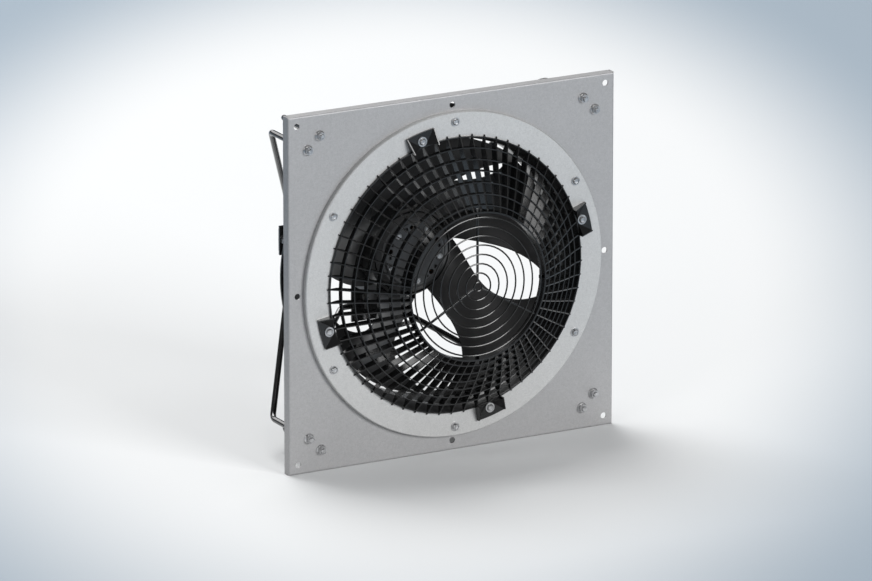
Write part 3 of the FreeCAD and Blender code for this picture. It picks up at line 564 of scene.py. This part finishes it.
class FAN_OT_studio(bpy.types.Operator):
    """Set the floor, the lamps, the surround and the camera"""
    bl_idname = "fan.studio"
    bl_label = "Studio"

    def floor(self, s):
        bm = bmesh.new()
        bmesh.ops.create_grid(bm, x_segments=1, y_segments=1, size=s.floor_size)
        bmesh.ops.translate(bm, vec=Vector((0, 0, CAD_BOX[0][2])), verts=bm.verts)
        piece = finished(bm, "floor")
        # The floor's colour and its faint glow go from s.floor near a centre behind the fan to the
        # bluish-grey s.edge further out: painted shade standing in for the studio light's falloff
        # toward the corners.
        f = Finish("floor_and_painted_falloff", s.floor, 0.9, specular=0.0)
        mapping = f.nodes.new("ShaderNodeMapping")
        centre = Vector((0.345, 0.800, 0.0))
        turn = math.atan2(CAMERA_RIGHT.y, CAMERA_RIGHT.x)
        mapping.vector_type = "TEXTURE"
        mapping.inputs["Location"].default_value = (centre.x, centre.y, CAD_BOX[0][2])
        mapping.inputs["Rotation"].default_value = (0, 0, turn)
        mapping.inputs["Scale"].default_value = (1.0, 2.4, 1.0)
        f.wire(f.place, mapping.inputs["Vector"])
        reach = f.nodes.new("ShaderNodeVectorMath")
        reach.operation = "LENGTH"
        f.wire(mapping.outputs["Vector"], reach.inputs[0])
        ramp = f.nodes.new("ShaderNodeValToRGB")
        ramp.color_ramp.interpolation = "EASE"
        ramp.color_ramp.elements[0].position = 0.48
        ramp.color_ramp.elements[0].color = tuple(s.floor) + (1.0,)
        ramp.color_ramp.elements[1].position = 0.86
        ramp.color_ramp.elements[1].color = tuple(s.edge) + (1.0,)
        f.wire(reach.outputs["Value"], ramp.inputs["Fac"])
        f.wire(ramp.outputs["Color"], f.shader.inputs["Base Color"])
        glow = f.nodes.new("ShaderNodeEmission")
        f.wire(ramp.outputs["Color"], glow.inputs["Color"])
        glow.inputs["Strength"].default_value = 0.05
        path = f.nodes.new("ShaderNodeLightPath")
        seen = f.summed(path.outputs["Is Camera Ray"], path.outputs["Is Glossy Ray"], "MAXIMUM")
        seen = f.summed(seen, path.outputs["Is Transmission Ray"], "MAXIMUM")
        blank = f.nodes.new("ShaderNodeEmission")
        blank.inputs["Strength"].default_value = 0.0
        choose = f.nodes.new("ShaderNodeMixShader")
        f.wire(seen, choose.inputs[0])
        f.wire(blank.outputs[0], choose.inputs[1])
        f.wire(glow.outputs[0], choose.inputs[2])
        both = f.nodes.new("ShaderNodeAddShader")
        f.wire(f.shader.outputs[0], both.inputs[0])
        f.wire(choose.outputs[0], both.inputs[1])
        f.wire(both.outputs[0], f.nodes["Material Output"].inputs["Surface"])
        piece.data.materials.append(f.material)

    def lamp(self, name, place, size, power, aim=(0, 0, 0)):
        light = bpy.data.lights.new(name, "AREA")
        light.shape = "RECTANGLE"
        light.size, light.size_y = size
        light.energy = power
        lamp = bpy.data.objects.new(name, light)
        lamp.location = place
        lamp.rotation_euler = (Vector(aim) - Vector(place)).to_track_quat("-Z", "Y").to_euler()
        bpy.context.scene.collection.objects.link(lamp)

    def surround(self, strength):
        world = bpy.context.scene.world or bpy.data.worlds.new("surround")
        bpy.context.scene.world = world
        world.use_nodes = True
        back = world.node_tree.nodes["Background"]
        back.inputs["Color"].default_value = (0.96, 0.98, 1.0, 1.0)
        back.inputs["Strength"].default_value = strength

    def camera(self):
        data = bpy.data.cameras.new("view")
        data.sensor_fit = "HORIZONTAL"
        data.sensor_width = 36.0
        data.lens = data.sensor_width * FOCAL_PIXELS / PHOTO_SIZE[0]
        data.clip_start = 0.1
        data.clip_end = 100.0
        eye = bpy.data.objects.new("view", data)
        turn = Matrix((CAMERA_RIGHT, CAMERA_UP, CAMERA_BACK)).transposed().to_4x4()
        eye.matrix_world = Matrix.Translation(CAMERA_PLACE) @ turn
        bpy.context.scene.collection.objects.link(eye)
        bpy.context.scene.camera = eye

    def execute(self, context):
        s = context.scene.fan_studio
        context.scene.view_settings.view_transform = "Standard"
        self.floor(s)
        self.surround(s.world)
        self.lamp("key", (2.8, -8.0, 3.0), (4.4, 3.2), 590.0)
        self.lamp("top", (-0.2, 2.8, 5.8), (3.8, 3.8), 370.0)
        self.lamp("back", (-1.0, 6.5, 3.2), (5.0, 2.0), 90.0)
        self.lamp("left", (-6.0, -3.2, 2.8), (2.0, 3.2), 50.0)
        self.camera()
        return {"FINISHED"}


STEPS = (FAN_OT_sheet_metal, FAN_OT_mouldings, FAN_OT_impeller, FAN_OT_rods, FAN_OT_motor,
         FAN_OT_fasteners, FAN_OT_foot_webs, FAN_OT_guard, FAN_OT_studio)


class FAN_PT_dressing(bpy.types.Panel):
    bl_label = "Wall plate fan"
    bl_idname = "FAN_PT_dressing"
    bl_space_type = "VIEW_3D"
    bl_region_type = "UI"
    bl_category = "Fan"

    def draw(self, context):
        for step in STEPS:
            self.layout.operator(step.bl_idname)
        for group in (context.scene.fan_finishes, context.scene.fan_fasteners,
                      context.scene.fan_studio):
            box = self.layout.box()
            for name in group.__annotations__:
                box.prop(group, name)


GROUPS = {"fan_finishes": FanFinishes, "fan_fasteners": FanFasteners, "fan_studio": FanStudio}


def register():
    for group in GROUPS.values():
        bpy.utils.register_class(group)
    for name, group in GROUPS.items():
        setattr(bpy.types.Scene, name, bpy.props.PointerProperty(type=group))
    for step in STEPS + (FAN_PT_dressing,):
        bpy.utils.register_class(step)


def unregister():
    for step in STEPS + (FAN_PT_dressing,):
        bpy.utils.unregister_class(step)
    for name, group in GROUPS.items():
        delattr(bpy.types.Scene, name)
        bpy.utils.unregister_class(group)


def main():
    register()
    bpy.ops.fan.sheet_metal()
    bpy.ops.fan.mouldings()
    bpy.ops.fan.impeller()
    bpy.ops.fan.rods()
    bpy.ops.fan.motor()
    bpy.ops.fan.fasteners()
    bpy.ops.fan.foot_webs()
    bpy.ops.fan.guard()
    bpy.ops.fan.studio()


if __name__ == "__main__":
    main()
